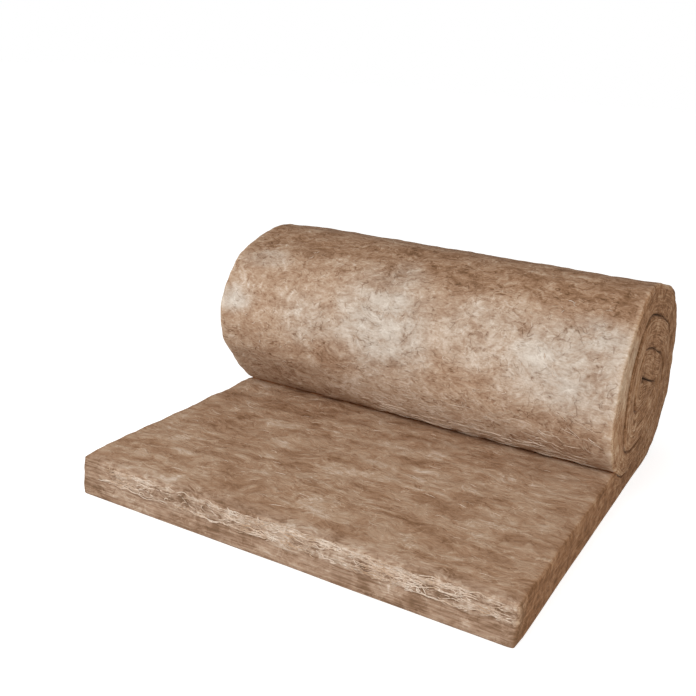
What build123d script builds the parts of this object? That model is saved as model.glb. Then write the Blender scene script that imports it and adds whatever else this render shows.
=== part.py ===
from build123d import *
from math import acos, asin, atan2, degrees, hypot, sqrt
import os

# A mineral wool blanket, most of it wound into a soft oval roll and the rest lying flat in
# front. Millimetres, +Z up. The roll's axis runs along X and the flat run reaches towards -Y.
# The origin is the middle of the footprint, on the floor.

# The blanket
blanket_width = 1140.0
loose_thickness = 105.0
rolled_thickness = 84.0

# How it lies
roll_height = 576.0
heel_height = 530.0
oval_stretch = 236.0
front_run = 723.0

# The turns press on each other, so between them there is only a line, sunk into each end
turn_line = 3.0
turn_line_depth = 25.0

# Soft edges
edge_rounding = 10.0
crease_rounding = 60.0

# The innermost fold is at least as wide as a turn line, and the hidden end in it is rounded too
smallest_fold = turn_line
smallest_heart = edge_rounding + smallest_fold

# The roll is a spiral of half turns about two centres. The first one, its heel, rises from
# the floor round the back centre. The front ones ride on the flat run, so their centre lies
# higher, and the stretches along the top slope down to the back.
pitch = rolled_thickness + turn_line
heel_radius = heel_height / 2
front_lift = (roll_height + pitch - heel_height) / 2
brow_radius = heel_radius + front_lift - pitch
back_height = heel_radius
front_height = heel_radius + front_lift

# The roll presses a bed into the flat run, and the blanket is loose again from the crease on.
bed_radius = brow_radius + turn_line
crease_reach = sqrt(bed_radius**2 - (front_height - loose_thickness) ** 2)
bed_angle = degrees(asin(crease_reach / bed_radius))

full_depth = front_run + crease_reach + oval_stretch + heel_radius
cut_edge = -full_depth / 2
crease = cut_edge + front_run
front_centre = crease + crease_reach
back_centre = front_centre + oval_stretch


def slope_between(rise, run, drop):
    # The slope of a straight stretch that touches two arcs, in degrees. From the near centre
    # the far one is a rise and a run away, and its arc's radius is smaller by the drop.
    return degrees(acos(drop / hypot(rise, run)) - atan2(run, rise))


top_slope = slope_between(front_lift, oval_stretch, pitch - front_lift)


def is_back(turn):
    return turn % 2 == 0


def outer_radius(turn):
    first = heel_radius if is_back(turn) else brow_radius
    return first - turn // 2 * pitch


def inner_radius(turn):
    return outer_radius(turn) - rolled_thickness


def has_room(turn):
    # Inside this half turn there is room for its fold, and in the next one for the hidden end
    return inner_radius(turn) >= smallest_fold and outer_radius(turn + 1) >= smallest_heart


def last_half_turn():
    turn = 0
    while has_room(turn + 1):
        turn += 1
    return turn


def centre(turn):
    if is_back(turn):
        return Vector(back_centre, back_height)
    return Vector(front_centre, front_height)


def turn_angles(turn):
    if is_back(turn):
        return -90, 90 - top_slope
    return 90 - top_slope, 270


def on_circle(middle, radius, angle):
    return middle + Vector(radius, 0).rotate(Axis.Z, angle)


def arc(middle, radius, start, end):
    CenterArc(middle, radius, start, end - start)


def half_turn(turn, radius_of):
    start, end = turn_angles(turn)
    arc(centre(turn), radius_of(turn), start, end)


def stretch(turn, radius_of):
    # The straight stretch from this half turn to the next one
    angle = turn_angles(turn)[1]
    near = on_circle(centre(turn), radius_of(turn), angle)
    far = on_circle(centre(turn + 1), radius_of(turn + 1), angle)
    Line(near, far)


def heart(turn):
    # The hidden end of the blanket, which swells as far as the fold round it lets it
    start, end = turn_angles(turn)
    room = outer_radius(turn + 1)
    end_radius = min(loose_thickness / 2, room)
    near = centre(turn)
    middle = on_circle(centre(turn + 1), room - end_radius, end)
    rise = abs(middle.Y - near.Y)
    run = abs(middle.X - near.X)
    slope = slope_between(rise, run, end_radius + inner_radius(turn))
    inner = (90 if is_back(turn) else 270) - slope
    arc(near, inner_radius(turn), start, inner)
    Line(on_circle(near, inner_radius(turn), inner), on_circle(middle, end_radius, inner + 180))
    arc(middle, end_radius, end, inner + 180)


def blanket_section():
    last = last_half_turn()
    with BuildSketch() as section:
        with BuildLine():
            Line((cut_edge, 0), (back_centre, 0))
            for turn in range(last + 1):
                half_turn(turn, outer_radius)
                stretch(turn, outer_radius)
            for turn in range(last):
                half_turn(turn, inner_radius)
                stretch(turn, inner_radius)
            heart(last)
            Line((back_centre, rolled_thickness), (front_centre, rolled_thickness))
            arc(centre(1), bed_radius, 270, 270 - bed_angle)
            Line((crease, loose_thickness), (cut_edge, loose_thickness))
            Line((cut_edge, loose_thickness), (cut_edge, 0))
        make_face()
        shoulder = section.vertices().sort_by_distance((crease, loose_thickness))[0]
        fillet(shoulder, crease_rounding)
    return section.sketch


def pressed_turns():
    # All that lies inside the outermost turn
    with BuildSketch() as turns:
        with BuildLine():
            Line((front_centre, rolled_thickness), (back_centre, rolled_thickness))
            half_turn(0, inner_radius)
            stretch(0, inner_radius)
            half_turn(1, inner_radius)
            Line(
                on_circle(centre(1), inner_radius(1), 270),
                (front_centre, rolled_thickness),
            )
        make_face()
    return turns.sketch


def wool_blanket():
    section = blanket_section()
    turns = pressed_turns()
    left_side = Plane.YZ.offset(-blanket_width / 2)
    right_side = Plane.YZ.offset(blanket_width / 2)
    blanket = extrude(left_side * (section + turns), blanket_width)
    lines = turns - section
    blanket -= extrude(left_side * lines, turn_line_depth)
    blanket -= extrude(right_side * lines, -turn_line_depth)
    sides = [blanket.faces().sort_by(Axis.X)[0], blanket.faces().sort_by(Axis.X)[-1]]
    cut_face = blanket.faces().sort_by(Axis.Y)[0]
    soft_edges = sides[0].edges() + sides[1].edges() + cut_face.edges().filter_by(Axis.X)
    return fillet(soft_edges, edge_rounding)


def main():
    os.makedirs("parts", exist_ok=True)
    blanket = wool_blanket()
    print("last half turn", last_half_turn(), "size", blanket.bounding_box().size)
    export_step(blanket, "parts/wool_blanket.step")


main()
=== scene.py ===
import random
from math import acos, atan2, cos, degrees, hypot, pi, radians, sin, sqrt

import bmesh
import bpy
from mathutils import Matrix, Vector, noise


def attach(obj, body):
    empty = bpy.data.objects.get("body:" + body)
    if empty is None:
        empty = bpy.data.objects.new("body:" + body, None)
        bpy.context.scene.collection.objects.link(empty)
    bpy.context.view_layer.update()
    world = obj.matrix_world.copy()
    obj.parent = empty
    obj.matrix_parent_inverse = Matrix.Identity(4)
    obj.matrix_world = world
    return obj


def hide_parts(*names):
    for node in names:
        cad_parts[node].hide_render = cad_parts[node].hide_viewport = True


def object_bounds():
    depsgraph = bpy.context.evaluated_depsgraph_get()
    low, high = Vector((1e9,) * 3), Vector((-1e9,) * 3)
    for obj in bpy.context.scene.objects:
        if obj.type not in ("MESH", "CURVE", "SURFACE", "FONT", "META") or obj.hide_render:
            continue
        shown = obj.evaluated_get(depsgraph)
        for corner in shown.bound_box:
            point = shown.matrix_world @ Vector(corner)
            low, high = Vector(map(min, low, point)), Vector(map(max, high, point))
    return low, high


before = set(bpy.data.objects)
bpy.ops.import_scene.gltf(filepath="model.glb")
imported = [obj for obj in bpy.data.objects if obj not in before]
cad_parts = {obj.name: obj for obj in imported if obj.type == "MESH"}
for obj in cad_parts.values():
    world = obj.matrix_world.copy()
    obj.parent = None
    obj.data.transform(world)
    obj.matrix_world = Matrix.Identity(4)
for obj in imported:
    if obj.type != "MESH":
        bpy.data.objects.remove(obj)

# An unfaced mineral wool blanket, most of it wound into a soft oval roll and the rest lying
# flat in front of it. The blanket is made flat, as on its production line, and then wound.
# Metres, in the frame's own axes: X across the blanket, the flat run towards -Y, +Z up. A
# place in the flat blanket is across it, along it from its cut end, and up from its outer face.

node = "wool_blanket"
solidLow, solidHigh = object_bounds()
seeds = {"noise": 5, "threads": 7}
noise.seed_set(seeds["noise"])  # without it noise vectors start at the time of day

blanket = {
    "leftOverhang": 0.006,  # the wool swells a little past its solid at both ends
    "rightOverhang": 0.003,
    "looseThickness": 0.105,
    "rolledThickness": 0.0855,
    "heartThickness": 0.062,
    "tongueLength": 0.225,  # the blanket's hidden end, pinched in the roll's heart
    "tongueThickness": 0.012,
    "tongueTaper": 0.04,  # how far along it starts to thin
    "rollHeight": solidHigh.z,
    "heelHeight": 0.530,  # the back of the roll is lower than its brow in front
    "ovalStretch": 0.236,
    "pitch": 0.087,  # from one turn to the next
    "creaseSoftness": 0.005,
    "creaseSwell": 0.007,  # the flat run swells a little where the roll presses on it
    "swellBeforeCrease": (0.10, 0.005),
    "edgeSoftness": 0.005,
    "frontBand": 0.050,
    "frontRow": 0.004,  # the mesh is finer where it shows
    "visibleRow": 0.0115,
    "hiddenRow": 0.032,
    "column": 0.0105,
    "depthCuts": 24,
}

# The roll isn't a true oval. Each push moves its skin in or out round one height of its
# front, where 0 degrees is its foremost line and 90 its top, and more towards one end. One
# with a depth doesn't reach the turns below it.
pushes = (
    {"end": -1, "height": 8, "reach": 45, "by": 0.024},
    {"end": -1, "height": 76, "reach": 36, "by": -0.016},
    {"end": -1, "height": 46, "reach": 22, "by": 0.006},
    {"end": 1, "height": 5, "reach": 50, "by": -0.016},
    {"end": 1, "height": 55, "reach": 48, "by": -0.024},
    {"end": 1, "height": 114, "reach": 30, "by": 0.007},
    {"end": 1, "height": 178, "reach": 35, "by": -0.040},
    {"end": 1, "height": 156, "reach": 20, "by": -0.017, "depth": 0.12},
    {"end": -1, "height": -38, "reach": 24, "by": -0.009},
    {"end": -1, "height": -64, "reach": 12, "by": 0.005},
)
lowestHeight = -80  # the skin below it counts as the end of the back

# How the inner turns sink back and down under their own weight, and where the crease lies
sag = {
    "back": 0.043,
    "fromTo": (0.25, 0.52),  # in Y, where it fades out
    "downTop": -0.002,  # at the height of the top, and below at that of the foot
    "downFoot": 0.052,
    "foot": 0.171,
    "top": 0.370,
    "press": 0.30,  # as a share of the height over the floor, at most
    "bedDepth": 0.084,  # behind the crease the bed's lowest layer counts as skin
    "bedTop": (0.18, 0.30),
    "bedBack": 0.05,
    "creaseLeft": 0.006,
    "creaseRight": -0.012,
    "creaseReach": (0.14, 0.02),
}

lumps = {
    "rollWobble": 0.0022,
    "rollWobbleScale": 5.0,
    "rollWobbleShift": (4.3, 8.6, -4.3),
    "acrossShare": 0.5,
    "skinLump": 0.0022,
    "skinLumpScale": 16.0,
    "skinTuft": 0.0011,
    "skinTuftScale": 42.0,
    "fractal": (0.7, 2.1, 3),
    "calmAtFloor": (0.02, 0.12),
    "flatOnFloor": 0.01,
    "hiddenInBed": (0.16, 0.10),
}

# The wound ends: each turn is pillowed between the lines that part it from the next
woundEnds = {
    "reach": (0.020, 0.003),
    "fromShare": 0.97,  # of the half width
    # The lines between turns are painted shade beside a real groove; these set their width and strength
    "lineWidth": 0.07,  # as a share of the thickness, with more where a turn stands upright
    "uprightWidth": 0.10,
    "flatLineShare": 0.55,  # a line is fainter where turns lie flat
    "outerLine": 0.7,
    "innerLine": 0.5,
    "lineStart": (-0.01, 0.05),
    "heartFade": 0.4,
    "heartFadeFromTo": (1.0, 1.3),
    # how deep the painted highlight along the outermost turn's rim reaches
    "paintedHighlightDepth": 0.16,
    "pillow": 0.002,
    "groove": 0.005,
    "step": 0.003,  # how unevenly the turns stand out
    "stepScale": 2.1,
    "stepFromTo": (0.6, 1.0),
    "innerStep": 0.003,
    "innerStepFromTo": (-0.4, 0.3),
    "innerTurnSoftness": 0.1,
}

# The cut end is torn soft and frayed along two lines. A waver is how far, how often and which
# stretch of the noise.
cutEnd = {
    "reach": 0.08,
    "topSoftness": 0.014,
    "topWaver": (0.010, 4, 0),
    "footSoftness": 0.006,
    "cornerSoftness": (0.008, 0.018),
    "sliceFade": (0.002, 0.016),
    "frayLines": (0.092, 0.060),
    "frayWavers": ((0.008, 5, 0), (0.004, 17, 3)),
    "frayReach": 0.03,
    "frayLeft": (0.03, 0.12),
    "frayBelow": 0.016,
    "frayAbove": (0.004, 0.022),
    "frayFade": (0.002, 0.024),
    "paleHeights": (0.010, 0.007),
    "paleFade": (0.002, 0.020),
    "bulge": 0.003,
    "crumb": 0.0025,
    "crumbScale": (45, 90),
}


def share(value, start, end):
    # 0 before the start, 1 after the end and in step between them
    return min(1.0, max(0.0, (value - start) / (end - start)))


def smooth(value, start, end):
    part = share(value, start, end)
    return part * part * (3 - 2 * part)


def between(low, high, part):
    return low + part * (high - low)


def softMin(a, b, softness):
    return 0.5 * (a + b - sqrt((a - b) ** 2 + softness ** 2))


def hill(value, top, reach):
    away = abs(value - top) / reach
    return 0.0 if away > 1 else cos(away * pi / 2) ** 2


def waver(along, track, by, scale, stretch):
    # An uneven change along a line. Track and stretch only choose another part of the noise.
    return by * noise.noise(Vector((along * scale, track, stretch)))


# The way that the outer face takes through the roll, as runs in the plane of Y and Z

pitch = blanket["pitch"]
heelRadius = blanket["heelHeight"] / 2
frontLift = (blanket["rollHeight"] + pitch - blanket["heelHeight"]) / 2
browRadius = heelRadius + frontLift - pitch
backCentre = Vector((solidHigh.y - heelRadius, heelRadius))
frontCentre = Vector((backCentre.x - blanket["ovalStretch"], heelRadius + frontLift))
topSlope = acos((pitch - frontLift) / hypot(frontLift, blanket["ovalStretch"])) - atan2(
    blanket["ovalStretch"], frontLift
)
cutEdge = solidLow.y
bedRadius = browRadius + pitch - blanket["rolledThickness"]
crease = frontCentre.x - sqrt(bedRadius ** 2 - (frontCentre.y - blanket["looseThickness"]) ** 2)
leftEnd = solidLow.x - blanket["leftOverhang"]
rightEnd = solidHigh.x + blanket["rightOverhang"]
halfWidth = (rightEnd - leftEnd) / 2
middle = (rightEnd + leftEnd) / 2


def arcRun(centre, radius, start, end):
    return {"centre": centre, "radius": radius, "start": start, "length": radius * (end - start)}


def lineRun(start, end):
    return {"from": start, "way": (end - start).normalized(), "length": (end - start).length}


def onCircle(centre, radius, angle):
    return centre + radius * Vector((cos(angle), sin(angle)))


def makeRoute():
    lean, bottom = pi / 2 - topSlope, 1.5 * pi
    runs = [lineRun(Vector((cutEdge, 0)), Vector((backCentre.x, 0)))]
    heel, brow = heelRadius, browRadius
    while heel > pitch:
        runs.append(arcRun(backCentre, heel, -pi / 2, lean))
        runs.append(lineRun(onCircle(backCentre, heel, lean), onCircle(frontCentre, brow, lean)))
        runs.append(arcRun(frontCentre, brow, lean, bottom))
        heel, brow = heel - pitch, brow - pitch
        start = onCircle(frontCentre, brow + pitch, bottom)
        runs.append(lineRun(start, onCircle(backCentre, heel, -pi / 2)))
    runs[-1] = lineRun(start, start + Vector((blanket["tongueLength"], 0)))
    return runs


route = makeRoute()
routeLength = sum(run["length"] for run in route)
skinLength = sum(run["length"] for run in route[:4])
tongueStart = routeLength - route[-1]["length"]
heartStart = tongueStart - route[-2]["length"]
lastStretch = heartStart - route[-3]["length"]


def onRoute(along):
    # The outer face's point at this distance from the cut edge, and the way into the wool
    for run in route:
        if along <= run["length"] or run is route[-1]:
            break
        along -= run["length"]
    if "radius" in run:
        angle = run["start"] + along / run["radius"]
        outwards = Vector((cos(angle), sin(angle)))
        return run["centre"] + run["radius"] * outwards, -outwards
    way = run["way"]
    return run["from"] + along * way, Vector((-way.y, way.x))


def thicknessAt(along):
    # Loose on the flat run, pressed in the bed and the roll, and more so towards its heart
    y = cutEdge + along
    if y < frontCentre.x:
        bed = frontCentre.y - sqrt(max(0.0, bedRadius ** 2 - (frontCentre.x - y) ** 2))
        swellStart, swellEnd = (crease - before for before in blanket["swellBeforeCrease"])
        loose = blanket["looseThickness"] + blanket["creaseSwell"] * smooth(y, swellStart, swellEnd)
        return softMin(loose, bed, blanket["creaseSoftness"])
    heart = share(along, lastStretch, heartStart)
    tongue = share(along, tongueStart + blanket["tongueTaper"], routeLength)
    pressed = between(blanket["rolledThickness"], blanket["heartThickness"], heart)
    return between(pressed, blanket["tongueThickness"], tongue)


def flatBlanket():
    # A long flat box with soft edges, cut into an even grid that is finer where it shows
    mesh = bmesh.new()
    thickness = blanket["looseThickness"]
    bmesh.ops.create_cube(mesh, size=1)
    bmesh.ops.scale(mesh, vec=(2 * halfWidth, routeLength, thickness), verts=mesh.verts)
    bmesh.ops.translate(mesh, vec=(middle, routeLength / 2, thickness / 2), verts=mesh.verts)
    bmesh.ops.bevel(
        mesh, geom=mesh.edges[:], offset=blanket["edgeSoftness"], segments=2,
        profile=0.5, affect="EDGES", material=-1,
    )
    bands = {
        "frontRow": (0, blanket["frontBand"]),
        "visibleRow": (blanket["frontBand"], skinLength),
        "hiddenRow": (skinLength, routeLength),
    }
    for start in (blanket["frontBand"], skinLength):
        everything = mesh.verts[:] + mesh.edges[:] + mesh.faces[:]
        bmesh.ops.bisect_plane(mesh, geom=everything, plane_co=(0, start, 0), plane_no=(0, 1, 0))
    lengthwise = [(edge, (edge.verts[0].co.y + edge.verts[1].co.y) / 2) for edge in edgesAlong(mesh, 1)]
    for row, (start, end) in bands.items():
        cutEvenly(mesh, [edge for edge, y in lengthwise if start < y < end], (end - start) / blanket[row])
    cutEvenly(mesh, edgesAlong(mesh, 0), 2 * halfWidth / blanket["column"])
    cutEvenly(mesh, edgesAlong(mesh, 2), blanket["depthCuts"])
    return mesh


def edgesAlong(mesh, axis, longerThan=0.05, straightness=0.999):
    # The edges that run straight along this axis, apart from the short ones of the soft edges
    found = []
    for edge in mesh.edges:
        way = edge.verts[1].co - edge.verts[0].co
        if abs(way[axis]) > longerThan and abs(way[axis]) > straightness * way.length:
            found.append(edge)
    return found


def cutEvenly(mesh, edges, parts):
    bmesh.ops.subdivide_edges(mesh, edges=edges, cuts=round(parts) - 1, use_grid_fill=True)


def softCorner(a, b, radius):
    # Two distances from the edges of a square corner, changed so that the corner turns round
    u, v = min(1.0, 1 - a / radius), min(1.0, 1 - b / radius)
    if u <= 0 or v <= 0:
        return a, b
    return radius * (1 - u * sqrt(1 - v * v / 2)), radius * (1 - v * sqrt(1 - u * u / 2))


def softened(flat):
    # The cut end is torn soft along its edges, and unevenly
    if flat.y > cutEnd["reach"]:
        return flat
    x, y, z = flat
    thick = blanket["looseThickness"]
    y, down = softCorner(y, thick - z, cutEnd["topSoftness"] + waver(x, 0.7, *cutEnd["topWaver"]))
    y, z = softCorner(y, thick - down, cutEnd["footSoftness"])
    side = 1 if x > middle else -1
    fromEnd, y = softCorner(halfWidth - abs(x - middle), y, cutEnd["cornerSoftness"][side > 0])
    return Vector((middle + side * (halfWidth - fromEnd), y, z))


def wound(flat):
    # From a place in the flat blanket to its place in the roll
    point, inwards = onRoute(flat.y)
    depth = flat.z / blanket["looseThickness"] * thicknessAt(flat.y)
    point = point + depth * inwards
    return Vector((flat.x, point.x, point.y))


def settled(place):
    # The roll slumps: its skin goes by the pushes, and all its turns follow them softly
    if place.z < blanket["looseThickness"]:
        return place
    y, z = place.y - frontCentre.x, place.z - frontCentre.y
    radius = max(hypot(y, z), 1e-6)
    height = degrees(atan2(z, -y))
    if height < lowestHeight:
        height += 360
    across = (place.x - middle) / halfWidth
    move = 0
    for push in pushes:
        nearness = (0.5 + 0.5 * across * push["end"]) ** 2
        if "depth" in push:
            nearness *= 1 - smooth(depthInRoll(place), 0, push["depth"])
        move += push["by"] * nearness * hill(height, push["height"], push["reach"])
    move *= min(1.0, radius / browRadius) ** 2
    grown = (radius + move) / radius
    return Vector((place.x, frontCentre.x + y * grown, frontCentre.y + z * grown))


def depthInRoll(place):
    # How far a place lies inside the roll's skin, where the roll's foot counts as skin too
    point = Vector((place.y, place.z)) - frontCentre
    upwards = onCircle(Vector((0, 0)), 1, pi / 2 - topSlope)
    backwards = point.x * upwards.y - point.y * upwards.x
    if backwards < 0:
        bed = sag["bedDepth"] * share(place.z, 0, sag["bedDepth"]) * (1 - smooth(place.z, *sag["bedTop"]))
        bed *= smooth(place.y, crease, frontCentre.x - sag["bedBack"])
        return max(bed, browRadius - point.length)
    if backwards > route[2]["length"]:
        return heelRadius - hypot(place.y - backCentre.x, place.z - backCentre.y)
    return min(browRadius - point.dot(upwards), place.z)


def sagged(place):
    # The layers below the inner turns are pressed thin, and in front and on top the outermost
    # turn is left thick
    inside = share(depthInRoll(place), 0, blanket["rolledThickness"])
    inside *= 1 - smooth(place.y, *sag["fromTo"])
    back = sag["back"] * (1 - share(place.y, 0, sag["fromTo"][1]))
    down = between(sag["downTop"], sag["downFoot"], 1 - share(place.z, sag["foot"], sag["top"]))
    down = min(down, sag["press"] * place.z)
    fromCrease = hypot(place.y - crease, place.z - blanket["looseThickness"])
    creaseMove = between(sag["creaseLeft"], sag["creaseRight"], share(place.x, leftEnd, rightEnd))
    creaseMove *= smooth(fromCrease, *sag["creaseReach"])
    return place + Vector((0, back * inside + creaseMove, -down * inside))


def laid(flat):
    return sagged(settled(wound(softened(flat))))


def frayLine(x, line):
    # Two frayed lines run along the cut end: the first near its top and the second at mid height
    height = cutEnd["frayLines"][line]
    for settings in cutEnd["frayWavers"]:
        height += waver(x, 9.1 * line, *settings)
    return height


def frayedAcross(x):
    start, end = cutEnd["frayLeft"]
    return smooth(x, leftEnd + start, leftEnd + end)


def frayAt(flat):
    # How frayed the cut end is at a place: most of it is between the two lines
    if flat.y > cutEnd["frayReach"]:
        return 0.0
    upper, lower = frayLine(flat.x, 0), frayLine(flat.x, 1)
    start, end = cutEnd["frayAbove"]
    band = smooth(flat.z, lower - cutEnd["frayBelow"], lower)
    band *= 1 - smooth(flat.z, upper + start, upper + end)
    return band * (1 - smooth(flat.y, *cutEnd["frayFade"])) * frayedAcross(flat.x)


def paleThreadsAndHighlightAt(flat):
    # The pale threads lie thickest close to either line, and a painted highlight lies there with them
    if flat.y > cutEnd["frayReach"]:
        return 0.0
    near = max(hill(flat.z, frayLine(flat.x, line), cutEnd["paleHeights"][line]) for line in (0, 1))
    return near * (1 - smooth(flat.y, *cutEnd["paleFade"])) * frayedAcross(flat.x)


def roughened(flat, place, normal):
    # The small unevenness of the wool, the same all through where the blanket wavers and on its
    # open faces only where it is lumpy
    shift = Vector(lumps["rollWobbleShift"])
    move = lumps["rollWobble"] * noise.noise_vector(place * lumps["rollWobbleScale"] + shift)
    move.x *= lumps["acrossShare"]
    move.z *= smooth(place.z, *lumps["calmAtFloor"])
    shown = 1.0 if flat.y < skinLength else 0.0
    if flat.z > blanket["looseThickness"] / 2:
        bedStart, bedEnd = (frontCentre.x - before for before in lumps["hiddenInBed"])
        shown *= 1 - smooth(cutEdge + flat.y, bedStart, bedEnd)
    if place.z < lumps["flatOnFloor"]:
        shown = 0
    if shown:
        lump = lumps["skinLump"] * noise.fractal(place * lumps["skinLumpScale"], *lumps["fractal"])
        tuft = lumps["skinTuft"] * noise.noise(place * lumps["skinTuftScale"])
        move += normal * (lump + tuft) * shown
    fray = frayAt(flat)
    if fray:
        scaleX, scaleZ = cutEnd["crumbScale"]
        crumb = noise.fractal(Vector((place.x * scaleX, place.z * scaleZ, 2.2)), *lumps["fractal"])
        move += normal * fray * (cutEnd["bulge"] + cutEnd["crumb"] * crumb)
    moved = place + move
    moved.z = max(0.0, moved.z)
    return moved


def fromSkinEnd(along, fromTo):
    return smooth(along, skinLength + fromTo[0], skinLength + fromTo[1])


def nearEndAt(flat):
    start, end = (halfWidth - before for before in woundEnds["reach"])
    return smooth(abs(flat.x - middle), start, end)


def gapWithPaintedShadeAt(flat):
    # How much painted shade darkens the line between two turns here, on the wound ends; the same value
    # deepens its groove and bump
    depth = flat.z / blanket["looseThickness"]
    outermost = flat.y < skinLength
    upright = abs(onRoute(flat.y)[1].x)
    width = woundEnds["lineWidth"] + woundEnds["uprightWidth"] * upright
    lineStart, lineEnd = (crease + after for after in woundEnds["lineStart"])
    lowFace = 0 if outermost else 1 - smooth(depth, 0.0, width)
    lowFace *= 1 - woundEnds["heartFade"] * fromSkinEnd(flat.y, woundEnds["heartFadeFromTo"])
    highFace = smooth(depth, 1 - width, 1.0) * smooth(cutEdge + flat.y, lineStart, lineEnd)
    highFace *= woundEnds["outerLine"] if outermost else woundEnds["innerLine"]
    return nearEndAt(flat) * max(lowFace, highFace) * between(woundEnds["flatLineShare"], 1, upright)


# What the wool's material reads off the mesh
markNames = ("trimmedSide", "slicedEnd", "paintedHighlightRim", "gapWithPaintedShade", "innerTurn", "fray", "paleThreadsAndHighlight")


def marksAt(flat, normal):
    outermost = flat.y < skinLength
    depth = flat.z / blanket["looseThickness"]
    soft = woundEnds["innerTurnSoftness"]
    return {
        "trimmedSide": abs(normal.x),
        "slicedEnd": 1 - smooth(flat.y, *cutEnd["sliceFade"]),
        # a painted highlight along the rim of the outermost turn's ends
        "paintedHighlightRim": nearEndAt(flat) * (1 - smooth(depth, 0.0, woundEnds["paintedHighlightDepth"])) * outermost,
        "gapWithPaintedShade": gapWithPaintedShadeAt(flat),
        "innerTurn": fromSkinEnd(flat.y, (-soft, soft)),
        "fray": frayAt(flat),
        "paleThreadsAndHighlight": paleThreadsAndHighlightAt(flat),
    }


def endMove(flat, gapWithPaintedShade):
    # How far a wound end stands out here
    across = (flat.x - middle) / halfWidth
    if abs(across) <= woundEnds["fromShare"]:
        return 0.0
    end = 1 if across > 0 else -1
    depth = flat.z / blanket["looseThickness"]
    pillow = woundEnds["pillow"] * (2 * depth - 1) ** 2 + woundEnds["groove"] * gapWithPaintedShade
    step = waver(flat.y, 3.7 * end, woundEnds["step"], woundEnds["stepScale"], 0)
    step *= smooth(flat.y, *woundEnds["stepFromTo"])
    step += woundEnds["innerStep"] * fromSkinEnd(flat.y, woundEnds["innerStepFromTo"])
    return (step - pillow) * end


def makeBlanket():
    mesh = flatBlanket()
    mesh.normal_update()
    flatPlace = mesh.verts.layers.float_vector.new("flatPlace")
    layers = {name: mesh.verts.layers.float.new(name) for name in markNames}
    for vert in mesh.verts:
        flat = vert.co.copy()
        vert[flatPlace] = flat
        marks = marksAt(flat, vert.normal)
        for name, value in marks.items():
            vert[layers[name]] = value
        vert.co = laid(flat)
        vert.co.x += endMove(flat, marks["gapWithPaintedShade"])
    mesh.normal_update()
    places = [roughened(vert[flatPlace], vert.co.copy(), vert.normal.copy()) for vert in mesh.verts]
    for vert, place in zip(mesh.verts, places):
        vert.co = place
    mesh.normal_update()
    return finished(mesh, "mineralWoolBlanket")


def finished(mesh, name):
    for face in mesh.faces:
        face.smooth = True
    data = bpy.data.meshes.new(name)
    mesh.to_mesh(data)
    mesh.free()
    piece = bpy.data.objects.new(name, data)
    bpy.context.collection.objects.link(piece)
    print(name, "triangles", sum(len(polygon.vertices) - 2 for polygon in data.polygons))
    return piece


# Loose threads of wool, each made as a straight rod and then laid along its way on the blanket

threads = {
    "sides": 5,
    "flatness": 1.5,
    "tipShare": 0.25,  # of its thickness
    "patchSteps": 8,
    "patchLift": (-0.0003, 0.0008),
    "patchArch": 0.0008,
    "frayCount": 130,
    "fraySteps": (12, 26),
    "frayLength": (0.03, 0.20),
    "frayShorter": (0.4, 1),
    "frayRadius": (0.0005, 0.0012),
    "frayFromEnds": 0.05,
    "frayBeforeRight": 0.012,
    "frayBelowTop": 0.003,
    "frayShift": 0.005,
    "frayLift": (-0.0006, 0.0016),
    "frayMix": (0.9, 6, 1),
    "frayWaver": (0.008, 38, 0),
    "frayArch": (0.0016, 60, 5),
}

# Where short threads lie. The place is across the blanket and along it from the cut end, or
# on the cut end up it, and a turn of 0 degrees lies straight across.
patches = (
    {"face": "skin", "across": (-0.50, 0.52), "along": (2.25, 2.62), "turn": 20, "turnSpread": 60,
     "bend": 0.8, "length": (0.008, 0.022), "radius": (0.0005, 0.0009), "count": 90},
    {"face": "skin", "across": (-0.15, 0.50), "along": (2.60, 2.75), "turn": 3, "turnSpread": 7,
     "bend": 0.25, "length": (0.02, 0.07), "radius": (0.0004, 0.0009), "count": 60},
    {"face": "skin", "across": (0.34, 0.53), "along": (2.56, 2.72), "turn": 35, "turnSpread": 10,
     "bend": 0.3, "length": (0.02, 0.06), "radius": (0.0004, 0.0009), "count": 24},
    {"face": "skin", "across": (-0.10, 0.50), "along": (2.70, 2.785), "turn": 2, "turnSpread": 6,
     "bend": 0.25, "length": (0.03, 0.10), "radius": (0.0006, 0.0011), "count": 56},
    {"face": "flatRun", "across": (-0.50, 0.50), "along": (0.06, 0.66), "turn": 0, "turnSpread": 12,
     "bend": 0.4, "length": (0.012, 0.04), "radius": (0.0004, 0.0008), "count": 90},
    {"face": "cutEnd", "across": (-0.50, 0.54), "along": (0.050, 0.098), "turn": 0, "turnSpread": 28,
     "bend": 0.7, "length": (0.008, 0.025), "radius": (0.0005, 0.0010), "count": 220},
)

faces = {
    "cutEnd": lambda u, v: Vector((u, 0, v)),
    "skin": lambda u, v: Vector((u, v, 0)),
    "flatRun": lambda u, v: Vector((u, v, blanket["looseThickness"])),
}


def onFace(face, u, v):
    # A place on one of the blanket's faces, and the way out of the wool there
    flat = faces[face](u, v)
    place, step = laid(flat), 0.004
    first = laid(faces[face](u + step, v)) - place
    second = laid(faces[face](u, v + step)) - place
    out = first.cross(second).normalized()
    if face == "skin":
        out = -out
    return roughened(flat, place, out), out


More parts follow.
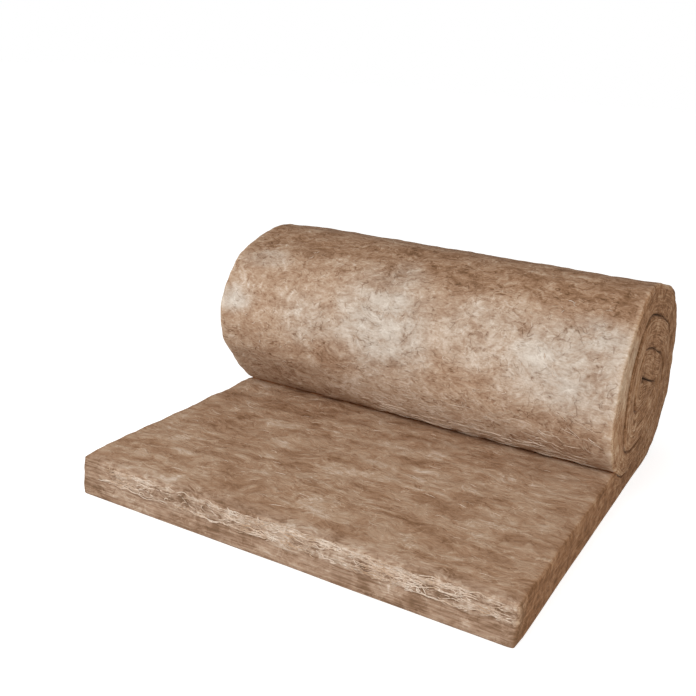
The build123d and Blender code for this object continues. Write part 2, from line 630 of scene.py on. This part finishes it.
def addThread(mesh, way, radius, steps):
    # The way gives a place and the way out of the wool, for each share of the thread's length
    before = len(mesh.verts)
    made = bmesh.ops.create_cone(
        mesh, cap_ends=True, segments=threads["sides"], radius1=1, radius2=1, depth=1,
    )["verts"]
    sides = {e for v in made for e in v.link_edges if abs(e.verts[0].co.z - e.verts[1].co.z) > 0.5}
    bmesh.ops.subdivide_edges(mesh, edges=list(sides), cuts=steps - 1, use_grid_fill=True)
    mesh.verts.ensure_lookup_table()
    rings = {}
    for vert in mesh.verts[before:]:
        rings.setdefault(round((vert.co.z + 0.5) * steps), []).append(vert)
    places = [way(ring / steps) for ring in range(steps + 1)]
    for ring, verts in rings.items():
        place, out = places[ring]
        ahead = places[min(ring + 1, steps)][0] - places[max(ring - 1, 0)][0]
        sideways = out.cross(ahead).normalized()
        thick = radius * between(threads["tipShare"], 1, sqrt(max(0.0, sin(pi * ring / steps))))
        for vert in verts:
            vert.co = place + thick * (threads["flatness"] * vert.co.x * sideways + vert.co.y * out)


def frayWay(draw):
    # A long thread along one of the frayed lines, or along a mix of the two
    line = draw.choice((0, 0, 1, 1, "mix", "mix"))
    start = draw.uniform(leftEnd + threads["frayFromEnds"], rightEnd - threads["frayFromEnds"])
    length = draw.uniform(*threads["frayLength"]) * draw.uniform(*threads["frayShorter"])
    length = min(length, rightEnd - threads["frayBeforeRight"] - start)
    shift, seed = draw.gauss(0, threads["frayShift"]), draw.uniform(0, 50)
    lift = draw.uniform(*threads["frayLift"])

    def way(part):
        u = start + length * part
        if line == "mix":
            mix = 0.5 + waver(u, seed, *threads["frayMix"])
            v = frayLine(u, 0) * mix + frayLine(u, 1) * (1 - mix)
        else:
            v = frayLine(u, line)
        v += shift + waver(u, seed, *threads["frayWaver"])
        v = min(v, blanket["looseThickness"] - threads["frayBelowTop"])
        place, out = onFace("cutEnd", u, v)
        return place + out * (lift + waver(u, seed, *threads["frayArch"])), out

    return way


def patchWay(draw, patch):
    # A short curved thread somewhere in a patch of one face
    u, v = draw.uniform(*patch["across"]), draw.uniform(*patch["along"])
    turn = radians(draw.gauss(patch["turn"], patch["turnSpread"]))
    bend = draw.gauss(0, patch["bend"])
    length = draw.uniform(*patch["length"])
    lift = draw.uniform(*threads["patchLift"])

    def way(part):
        along = (part - 0.5) * length
        angle = turn + bend * (part - 0.5)
        place, out = onFace(patch["face"], u + along * cos(angle), v + along * sin(angle))
        return place + out * (lift + threads["patchArch"] * (1 - (2 * part - 1) ** 2)), out

    return way


def makeThreads():
    draw = random.Random(seeds["threads"])
    mesh = bmesh.new()
    for number in range(threads["frayCount"]):
        radius = draw.uniform(*threads["frayRadius"])
        addThread(mesh, frayWay(draw), radius, draw.randint(*threads["fraySteps"]))
    frayed = finished(mesh, "frayedThreads")
    mesh = bmesh.new()
    for patch in patches:
        for number in range(patch["count"]):
            way = patchWay(draw, patch)
            addThread(mesh, way, draw.uniform(*patch["radius"]), threads["patchSteps"])
    return frayed, finished(mesh, "looseThreads")


class Nodes:
    # A short way to write a node tree: each call adds one node and joins what it is given

    def __init__(self, owner):
        owner.use_nodes = True
        self.tree = owner.node_tree
        self.tree.nodes.clear()

    def add(self, kind, inputs=None, **settings):
        made = self.tree.nodes.new(kind)
        for name, value in settings.items():
            setattr(made, name, value)
        for name, value in (inputs or {}).items():
            socket = made.inputs[name]
            if isinstance(value, bpy.types.NodeSocket):
                self.tree.links.new(value, socket)
            else:
                socket.default_value = value
        return made

    def maths(self, operation, a, b=0.0, c=0.0):
        return self.add("ShaderNodeMath", {0: a, 1: b, 2: c}, operation=operation).outputs[0]

    def chained(self, operation, parts):
        total = parts[0]
        for part in parts[1:]:
            total = self.maths(operation, total, part)
        return total

    def product(self, *parts):
        return self.chained("MULTIPLY", parts)

    def total(self, *parts):
        return self.chained("ADD", parts)

    def largest(self, *parts):
        return self.chained("MAXIMUM", parts)

    def rest(self, value):
        return self.maths("SUBTRACT", 1.0, value)

    def awayFrom(self, value, centre):
        return self.maths("ABSOLUTE", self.maths("SUBTRACT", value, centre))

    def centred(self, value, weight=1.0):
        # A pattern round 0, so that it lightens as much as it darkens
        return self.product(self.maths("SUBTRACT", value, 0.5), weight)

    def blend(self, low, high, value):
        return self.maths("MULTIPLY_ADD", value, high - low, low)

    def vector(self, operation, a, b=(0, 0, 0), scale=1.0):
        made = self.add("ShaderNodeVectorMath", {0: a, 1: b, 3: scale}, operation=operation)
        return made.outputs["Value" if operation == "LENGTH" else "Vector"]

    def mapped(self, vector, scale=(1, 1, 1), turn=(0, 0, 0), shift=(0, 0, 0)):
        return self.add(
            "ShaderNodeMapping", {"Vector": vector, "Scale": scale, "Rotation": turn, "Location": shift}
        ).outputs[0]

    def noise(self, vector, scale, detail=2.0, roughness=0.5, distortion=0.0):
        inputs = {"Vector": vector, "Scale": scale, "Detail": detail, "Roughness": roughness}
        return self.add("ShaderNodeTexNoise", {**inputs, "Distortion": distortion}).outputs

    def ranged(self, value, low, high, to=(0.0, 1.0)):
        return self.add(
            "ShaderNodeMapRange",
            {"Value": value, "From Min": low, "From Max": high, "To Min": to[0], "To Max": to[1]},
            interpolation_type="SMOOTHSTEP",
        ).outputs[0]

    def ramp(self, value, stops):
        made = self.add("ShaderNodeValToRGB", {"Fac": value})
        elements = made.color_ramp.elements
        while len(elements) < len(stops):
            elements.new(0.5)
        for element, (position, colour) in zip(elements, stops):
            element.position = position
            element.color = colour
        return made.outputs[0]

    def mixed(self, factor, first, second, blend="MIX"):
        inputs = {"Factor": factor, 6: first, 7: second}
        return self.add("ShaderNodeMix", inputs, data_type="RGBA", blend_type=blend).outputs[2]

    def objectPlace(self):
        return self.add("ShaderNodeTexCoord").outputs["Object"]

    def attribute(self, name, output="Fac"):
        return self.add("ShaderNodeAttribute", attribute_name=name).outputs[output]

    def matt(self, colour, raised=None):
        inputs = {"Base Color": colour, **mattSurface}
        if raised:
            inputs["Normal"] = raised
        shader = self.add("ShaderNodeBsdfPrincipled", inputs)
        self.add("ShaderNodeOutputMaterial", {"Surface": shader.outputs[0]})


# Wool, as linear colours by its tone and as the greyer ones of its clouds

woolStops = (
    (0.05, (0.136, 0.068, 0.031, 1)),
    (0.22, (0.223, 0.117, 0.061, 1)),
    (0.40, (0.337, 0.201, 0.121, 1)),
    (0.55, (0.429, 0.290, 0.193, 1)),
    (0.70, (0.533, 0.400, 0.301, 1)),
    (0.92, (0.686, 0.578, 0.480, 1)),
)
cloudStops = (
    (0.15, (0.215, 0.157, 0.112, 1)),
    (0.45, (0.410, 0.346, 0.288, 1)),
    (0.85, (0.618, 0.560, 0.490, 1)),
)
# painted shade: the trimmed sides are tinted warmer and darker, as wool looks in shade
paintedShadeTint = (1.0, 0.90, 0.76, 1)
# painted light: the crease's shadow is lightened and warmed
paintedCreaseLight = (1.75, 1.4, 0.95, 1)  # light that the soft wool lets through keeps the crease brown

# The wool's patterns. Most are noise, and a stretched one is drawn out where its scale is low.
patterns = {
    "flow": {"scale": 7.0, "detail": 2.0, "roughness": 0.55},
    "broad": {"scale": 3.0, "detail": 3.0, "roughness": 0.6},
    "stains": {"scale": 9.0, "stretch": (0.6, 1, 1), "shift": (5, 2, 0)},
    "mottle": {"scale": 17.0, "detail": 6.0, "roughness": 0.72, "stretch": (0.6, 1, 1)},
    "crumbs": {"scale": 52.0, "distortion": 0.9, "stretch": (0.75, 1, 1)},
    "streaks": {"scale": 1.0, "detail": 3.0, "roughness": 0.6, "stretch": (10, 44, 44)},
    "grain": {"scale": 230.0, "roughness": 0.7, "stretch": (0.5, 1, 1)},
    "layers": {"scale": 1.0, "detail": 3.0, "roughness": 0.65, "stretch": (9, 9, 190)},
    "strands": {"scale": 120.0, "detail": 3.0, "roughness": 0.65, "stretch": (0.4, 1, 1)},
}
flowReach = 0.10  # how far the flow bends the other patterns

# Thin lines, drawn where a noise passes its middle and kept in patches. The wisps lie one way
# and the others are curled.
thinLines = {
    "wisps": {"noise": {"scale": 1.0, "detail": 3.0, "roughness": 0.55}, "stretch": (14, 62, 20),
              "turn": 0.15, "width": 0.06, "patch": 6.0, "patchEdge": (0.42, 0.62)},
    "curls": {"noise": {"scale": 26.0, "distortion": 0.8}, "shift": (1.3, 0.91, -1.3),
              "width": 0.030, "patch": 20.0, "patchEdge": (0.46, 0.60)},
    "cracks": {"noise": {"scale": 21.0, "distortion": 0.8}, "shift": (3.1, 2.17, -3.1),
               "width": 0.024, "patch": 32.0, "patchEdge": (0.46, 0.60)},
    "pits": {"noise": {"scale": 44.0, "distortion": 0.8}, "shift": (2.2, 1.54, -2.2),
             "width": 0.050, "patch": 26.0, "patchEdge": (0.46, 0.60)},
}
speckled = {"scale": 90.0, "stretch": (0.55, 1, 1), "size": (0.34, 0.10), "chosen": (0.52, 0.62)}

# Where the parts of its faces lie, across the blanket and along it from the cut end
zones = {
    "rolledAlong": (0.75, 1.0),
    "rightRunAcross": (-0.1, 0.6),
    "topAlong": (2.36, 2.20),
    # where painted light lightens the roll's low front
    "lowFrontStart": (2.52, 2.64),
    "lowFrontEnd": (2.86, 2.80),
    "lowFrontRight": (0.55, 0.15, (-0.3, 1.0)),
    "lowFrontLeft": (-0.50, -0.05),
    # the creases, where painted light lightens the shadow
    "creases": ({"along": 2.80, "reach": 0.035}, {"along": 0.73, "reach": 0.025}),
}

# Pale clouds on the roll's front, placed across the blanket and along it from the cut end
clouds = (
    {"at": (-0.06, 2.45), "size": (0.15, 0.13), "strength": 1.0},
    {"at": (-0.26, 2.46), "size": (0.12, 0.07), "strength": 0.6},
    {"at": (-0.07, 2.31), "size": (0.09, 0.07), "strength": 0.6},
    {"at": (0.43, 2.45), "size": (0.17, 0.12), "strength": 1.0},
    {"at": (0.50, 2.37), "size": (0.10, 0.07), "strength": 0.9},
    {"at": (0.21, 2.41), "size": (0.14, 0.09), "strength": 0.55},
    {"at": (0.49, 2.54), "size": (0.08, 0.05), "strength": 0.5},
    {"at": (-0.54, 2.45), "size": (0.07, 0.035), "strength": 0.9},
    {"at": (-0.48, 2.32), "size": (0.07, 0.04), "strength": 0.6},
)
cloudEdge = (1.5, 0.3)
cloudMottle = (0.30, 0.60, (0.45, 1.0))  # a cloud is thinner where the mottle is dark

# How much each pattern or mark lightens the wool, or darkens it below 0. Two numbers are for
# the flat run and for the roll.
toneBy = {
    "base": 0.45,
    "roughOnRun": 0.5,  # share of the cracks and specks, because the flat run is smoother
    "broad": 0.36,
    "stains": 0.42,
    "mottle": 0.80,
    "crumbs": (0.30, 0.58),
    "streaks": 0.58,
    "streaksElsewhere": 0.25,  # of that, off the flat run and the top
    "grain": (0.08, 0.50),
    "layersOnTurns": 0.5,
    "layersOnRun": 0.5,
    "wisps": 0.12,
    "curls": 0.14,
    "cracks": -0.20,
    "specks": -0.12,
    "cloud": 0.20,
    # painted shade: the roll's top is darkened
    "onTopWithPaintedShade": -0.09,
    # painted shade: the flat run is darker towards its right
    "paintedShadeOnRightRun": -0.06,
    # painted light: the roll's low front is lightened
    "paintedLightOnLowFront": 0.14,
    # painted highlight: the outermost turn's rim at the ends is lightened
    "paintedHighlightRim": 0.14,
    "sliced": -0.07,
    # painted shade: the trimmed sides are darkened, and the flat run's sides most
    "trimmedWithPaintedShade": -0.06,
    "trimmedTurns": -0.05,
    "trimmedRunWithPaintedShade": -0.12,
    # painted shade: the lines between the wound turns are darkened
    "gapWithPaintedShade": -0.34,
}
frayBy = {"mottle": 0.2, "crumbs": 0.45, "strands": 0.65, "pits": -0.13}
paleThreadsAndHighlightBy = (-0.05, 0.45)
greyBy = {"cloud": 0.72, "front": 0.12, "fray": 0.35, "sliced": 0.25}
reliefBy = {
    "mottle": 1.3,
    "crumbs": 0.8,
    "grain": 0.4,
    "layers": 1.4,
    "cracks": -0.35,
    "specks": -0.30,
    "gapWithPaintedShade": -0.8,
}
reliefHeight = {"Strength": 0.6, "Distance": 0.006}
mattSurface = {"Roughness": 0.95, "Specular IOR Level": 0.15}
looseWool = {"patchy": (22.0, 3.0, 0.6), "fine": (240.0, 2.0, 0.6), "base": 0.21, "fineBy": 0.5}


def patterned(nodes, name, place):
    look = dict(patterns[name])
    stretch, shift = look.pop("stretch", None), look.pop("shift", (0, 0, 0))
    if stretch:
        place = nodes.mapped(place, scale=stretch, shift=shift)
    return nodes.noise(place, **look)["Fac"]


def cloudMask(nodes, place):
    masks = []
    for cloud in clouds:
        away = nodes.vector("SUBTRACT", place, (*cloud["at"], 0))
        away = nodes.vector("DIVIDE", away, (*cloud["size"], 1))
        masks.append(nodes.ranged(nodes.vector("LENGTH", away), *cloudEdge, (0.0, cloud["strength"])))
    return nodes.largest(*masks)


def thinLineLayer(nodes, name, place):
    look = thinLines[name]
    if "shift" in look:
        place = nodes.mapped(place, shift=look["shift"])
    drawn = place
    if "stretch" in look:
        drawn = nodes.mapped(place, scale=look["stretch"], turn=(0, 0, look["turn"]))
    lines = nodes.noise(drawn, **look["noise"])["Fac"]
    thin = nodes.ranged(nodes.awayFrom(lines, 0.5), look["width"], 0.0)
    return nodes.product(thin, nodes.ranged(nodes.noise(place, look["patch"])["Fac"], *look["patchEdge"]))


def speckLayer(nodes, place):
    # Small round specks, in some of the cells only
    moved = nodes.mapped(place, scale=speckled["stretch"])
    cell = nodes.add("ShaderNodeTexVoronoi", {"Vector": moved, "Scale": speckled["scale"]}).outputs
    return nodes.product(
        nodes.ranged(cell["Distance"], *speckled["size"]), nodes.ranged(cell["Color"], *speckled["chosen"]),
    )


def makeThreadWool():
    material = bpy.data.materials.new("looseWool")
    nodes = Nodes(material)
    place = nodes.objectPlace()
    tone = nodes.total(nodes.noise(place, *looseWool["patchy"])["Fac"], looseWool["base"])
    fine = nodes.noise(place, *looseWool["fine"])["Fac"]
    tone = nodes.total(tone, nodes.centred(fine, looseWool["fineBy"]))
    nodes.matt(nodes.ramp(tone, woolStops))
    return material


def makeWool():
    material = bpy.data.materials.new("mineralWool")
    nodes = Nodes(material)
    place, flat = nodes.objectPlace(), nodes.attribute("flatPlace", "Vector")
    trimmedWithPaintedShade, sliced, paintedHighlightRim, gapWithPaintedShade, inner, fray, paleThreadsAndHighlight = (nodes.attribute(name) for name in markNames)
    across, along = nodes.add("ShaderNodeSeparateXYZ", {"Vector": flat}).outputs[:2]
    cut = nodes.largest(trimmedWithPaintedShade, sliced)
    uncut = nodes.rest(cut)
    rolled = nodes.ranged(along, *zones["rolledAlong"])
    onRun = nodes.rest(rolled)
    # the flat run's trimmed sides, where painted shade is strongest and the layers show less
    trimmedRunWithPaintedShade = nodes.product(trimmedWithPaintedShade, onRun)
    # painted shade: the flat run is darkened towards its right
    paintedShadeOnRightRun = nodes.product(onRun, nodes.ranged(across, *zones["rightRunAcross"]))
    # the roll's top, where the streaks are strongest and painted shade darkens it
    onTopWithPaintedShade = nodes.product(nodes.ranged(along, *zones["topAlong"]), rolled)
    onFront = nodes.product(nodes.rest(nodes.ranged(along, *zones["topAlong"])), uncut)
    # painted light on the roll's low front, near the crease
    paintedLightOnLowFront = nodes.product(
        nodes.ranged(along, *zones["lowFrontStart"]),
        nodes.ranged(along, *zones["lowFrontEnd"]),
        nodes.ranged(across, *zones["lowFrontRight"]),
        nodes.ranged(across, *zones["lowFrontLeft"]),
    )
    # painted light in the creases, off the trimmed sides
    paintedLightInCrease = nodes.product(nodes.rest(trimmedWithPaintedShade), nodes.largest(*(
        nodes.ranged(nodes.awayFrom(along, line["along"]), line["reach"], 0.0) for line in zones["creases"]
    )))

    # the flow bends most of the patterns
    flow = nodes.noise(place, **patterns["flow"])["Color"]
    flow = nodes.vector("SCALE", nodes.vector("SUBTRACT", flow, (0.5, 0.5, 0.5)), scale=flowReach)
    bent, flatBent = nodes.vector("ADD", place, flow), nodes.vector("ADD", flat, flow)
    broad, stains, mottle, crumbs, streaks, strands = (
        patterned(nodes, name, bent)
        for name in ("broad", "stains", "mottle", "crumbs", "streaks", "strands")
    )
    grain = patterned(nodes, "grain", place)
    layers = patterned(nodes, "layers", flat)
    curls, cracks, pits = (thinLineLayer(nodes, name, place) for name in ("curls", "cracks", "pits"))
    rough = nodes.blend(toneBy["roughOnRun"], 1.0, rolled)
    cracks = nodes.product(cracks, rough)
    specks = nodes.product(speckLayer(nodes, bent), rough)
    cloud = nodes.product(cloudMask(nodes, flatBent), nodes.ranged(mottle, *cloudMottle))

    marks = {
        "wisps": nodes.product(thinLineLayer(nodes, "wisps", flatBent), onRun),
        "curls": curls,
        "cracks": cracks,
        "specks": specks,
        "cloud": cloud,
        "onTopWithPaintedShade": onTopWithPaintedShade,
        "paintedShadeOnRightRun": paintedShadeOnRightRun,
        "paintedLightOnLowFront": paintedLightOnLowFront,
        "paintedHighlightRim": paintedHighlightRim,
        "sliced": sliced,
        "trimmedWithPaintedShade": trimmedWithPaintedShade,
        "trimmedTurns": nodes.product(trimmedWithPaintedShade, inner),
        "trimmedRunWithPaintedShade": trimmedRunWithPaintedShade,
        "gapWithPaintedShade": gapWithPaintedShade,
    }
    elsewhere = toneBy["streaksElsewhere"]
    layersShown = nodes.maths("MULTIPLY_ADD", trimmedRunWithPaintedShade, -toneBy["layersOnRun"], cut)
    # where the cut end is frayed, small strands stand out and dark pits lie between them
    frayed = nodes.total(
        nodes.centred(mottle, frayBy["mottle"]),
        nodes.centred(crumbs, frayBy["crumbs"]),
        nodes.centred(strands, frayBy["strands"]),
        nodes.product(pits, frayBy["pits"]),
    )
    tone = nodes.total(
        nodes.total(nodes.centred(broad, toneBy["broad"]), toneBy["base"]),
        nodes.product(nodes.centred(stains, toneBy["stains"]), onRun, uncut),
        nodes.centred(mottle, toneBy["mottle"]),
        nodes.product(nodes.centred(crumbs), nodes.blend(*toneBy["crumbs"], rolled)),
        nodes.product(
            nodes.centred(streaks, toneBy["streaks"]),
            nodes.blend(elsewhere, 1.0, nodes.largest(onRun, onTopWithPaintedShade)),
        ),
        nodes.product(nodes.centred(grain), nodes.blend(*toneBy["grain"], rolled)),
        nodes.product(nodes.centred(layers), layersShown),
        nodes.product(nodes.centred(layers, toneBy["layersOnTurns"]), marks["trimmedTurns"]),
        nodes.product(fray, frayed),
        # pale threads and a painted highlight along the frayed lines
        nodes.product(paleThreadsAndHighlight, nodes.blend(*paleThreadsAndHighlightBy, crumbs)),
        *(nodes.product(mark, toneBy[name]) for name, mark in marks.items()),
    )
    greyed = nodes.largest(
        nodes.total(nodes.product(cloud, greyBy["cloud"]), nodes.product(onFront, greyBy["front"])),
        nodes.product(fray, greyBy["fray"]),
        nodes.product(sliced, greyBy["sliced"]),
    )
    colour = nodes.mixed(greyed, nodes.ramp(tone, woolStops), nodes.ramp(tone, cloudStops))
    # painted shade on the trimmed sides
    colour = nodes.mixed(trimmedWithPaintedShade, colour, paintedShadeTint, "MULTIPLY")
    # painted light in the creases
    colour = nodes.mixed(paintedLightInCrease, colour, paintedCreaseLight, "MULTIPLY")

    relief = nodes.total(
        nodes.centred(mottle, reliefBy["mottle"]),
        nodes.centred(crumbs, reliefBy["crumbs"]),
        nodes.centred(grain, reliefBy["grain"]),
        nodes.product(cut, nodes.centred(layers, reliefBy["layers"])),
        *(nodes.product(marks[name], reliefBy[name]) for name in ("cracks", "specks", "gapWithPaintedShade")),
    )
    nodes.matt(colour, nodes.add("ShaderNodeBump", {"Height": relief, **reliefHeight}).outputs[0])
    return material


# Floor, light and camera

studio = {
    "lens": 48.763,
    "sensorWidth": 36,
    "sightEnd": 60,
    "cameraPlace": (1.01186, -2.22463, 1.12529),
    "turn": 28.64,
    "tilt": 18.15,
    "roll": 3.43,
    "white": (1, 1, 1, 1),
    "skyStrength": 0.47,
    "lampsAimAt": (0, 0, 0.2),
    "floorSize": 20,
    "floorGap": 0.0005,
    "floorColour": (0.80, 0.80, 0.80, 1),
    "floorGlow": (0.64, 0.64, 0.64, 1),
}
lamps = {
    "keyLamp": {"place": (-1.0, -3.7, 2.9), "size": 3.0, "power": 122},
    "fillLamp": {"place": (3.2, -1.6, 1.2), "size": 2.0, "power": 40},
    "frontLamp": {"place": (-0.7, -3.8, 0.5), "size": 2.4, "power": 20},
}


def makeCamera():
    data = bpy.data.cameras.new("camera")
    data.lens = studio["lens"]
    data.sensor_width = studio["sensorWidth"]
    data.clip_end = studio["sightEnd"]
    camera = bpy.data.objects.new("camera", data)
    bpy.context.collection.objects.link(camera)
    camera.matrix_world = (
        Matrix.Translation(studio["cameraPlace"])
        @ Matrix.Rotation(radians(studio["turn"]), 4, "Z")
        @ Matrix.Rotation(radians(90 - studio["tilt"]), 4, "X")
        @ Matrix.Rotation(radians(studio["roll"]), 4, "Z")
    )
    bpy.context.scene.camera = camera


def makeLamp(name, place, size, power):
    data = bpy.data.lights.new(name, "AREA")
    data.shape = "DISK"
    data.size = size
    data.energy = power
    lamp = bpy.data.objects.new(name, data)
    bpy.context.collection.objects.link(lamp)
    lamp.location = place
    aim = Vector(studio["lampsAimAt"]) - Vector(place)
    lamp.rotation_euler = aim.to_track_quat("-Z", "Y").to_euler()


def whiteBehind(nodes):
    # 1 for what the camera sees past the object, also in a reflection, so that it is plain white
    rays = nodes.add("ShaderNodeLightPath").outputs
    return nodes.largest(rays["Is Camera Ray"], rays["Is Glossy Ray"], rays["Is Transmission Ray"])


def makeWorld():
    world = bpy.data.worlds.new("studioLight")
    bpy.context.scene.world = world
    nodes = Nodes(world)
    light, seen = (
        nodes.add("ShaderNodeBackground", {"Strength": strength, "Color": studio["white"]}).outputs[0]
        for strength in (studio["skyStrength"], 1)
    )
    both = nodes.add("ShaderNodeMixShader", {0: whiteBehind(nodes), 1: light, 2: seen})
    nodes.add("ShaderNodeOutputWorld", {"Surface": both.outputs[0]})


def makeFloor():
    mesh = bmesh.new()
    bmesh.ops.create_grid(mesh, x_segments=1, y_segments=1, size=studio["floorSize"])
    data = bpy.data.meshes.new("floor")
    mesh.to_mesh(data)
    mesh.free()
    floor = bpy.data.objects.new("floor", data)
    bpy.context.collection.objects.link(floor)
    floor.location.z = -studio["floorGap"]
    material = bpy.data.materials.new("paleFloor")
    nodes = Nodes(material)
    pale = nodes.add("ShaderNodeBsdfDiffuse", {"Color": studio["floorColour"]}).outputs[0]
    glow = nodes.add("ShaderNodeEmission", {"Strength": whiteBehind(nodes), "Color": studio["floorGlow"]})
    both = nodes.add("ShaderNodeAddShader", {0: pale, 1: glow.outputs[0]})
    nodes.add("ShaderNodeOutputMaterial", {"Surface": both.outputs[0]})
    data.materials.append(material)


print("camera, light and floor")
bpy.context.scene.view_settings.view_transform = "Standard"
makeCamera()
makeWorld()
for name, settings in lamps.items():
    makeLamp(name, **settings)
makeFloor()

print("the blanket")
blanketPiece = makeBlanket()
blanketPiece.data.materials.append(makeWool())
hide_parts(node)

print("its loose threads")
threadMaterial = makeThreadWool()
threadPieces = makeThreads()
for piece in threadPieces:
    piece.data.materials.append(threadMaterial)
for piece in (blanketPiece, *threadPieces):
    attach(piece, "root")

bpy.context.view_layer.update()
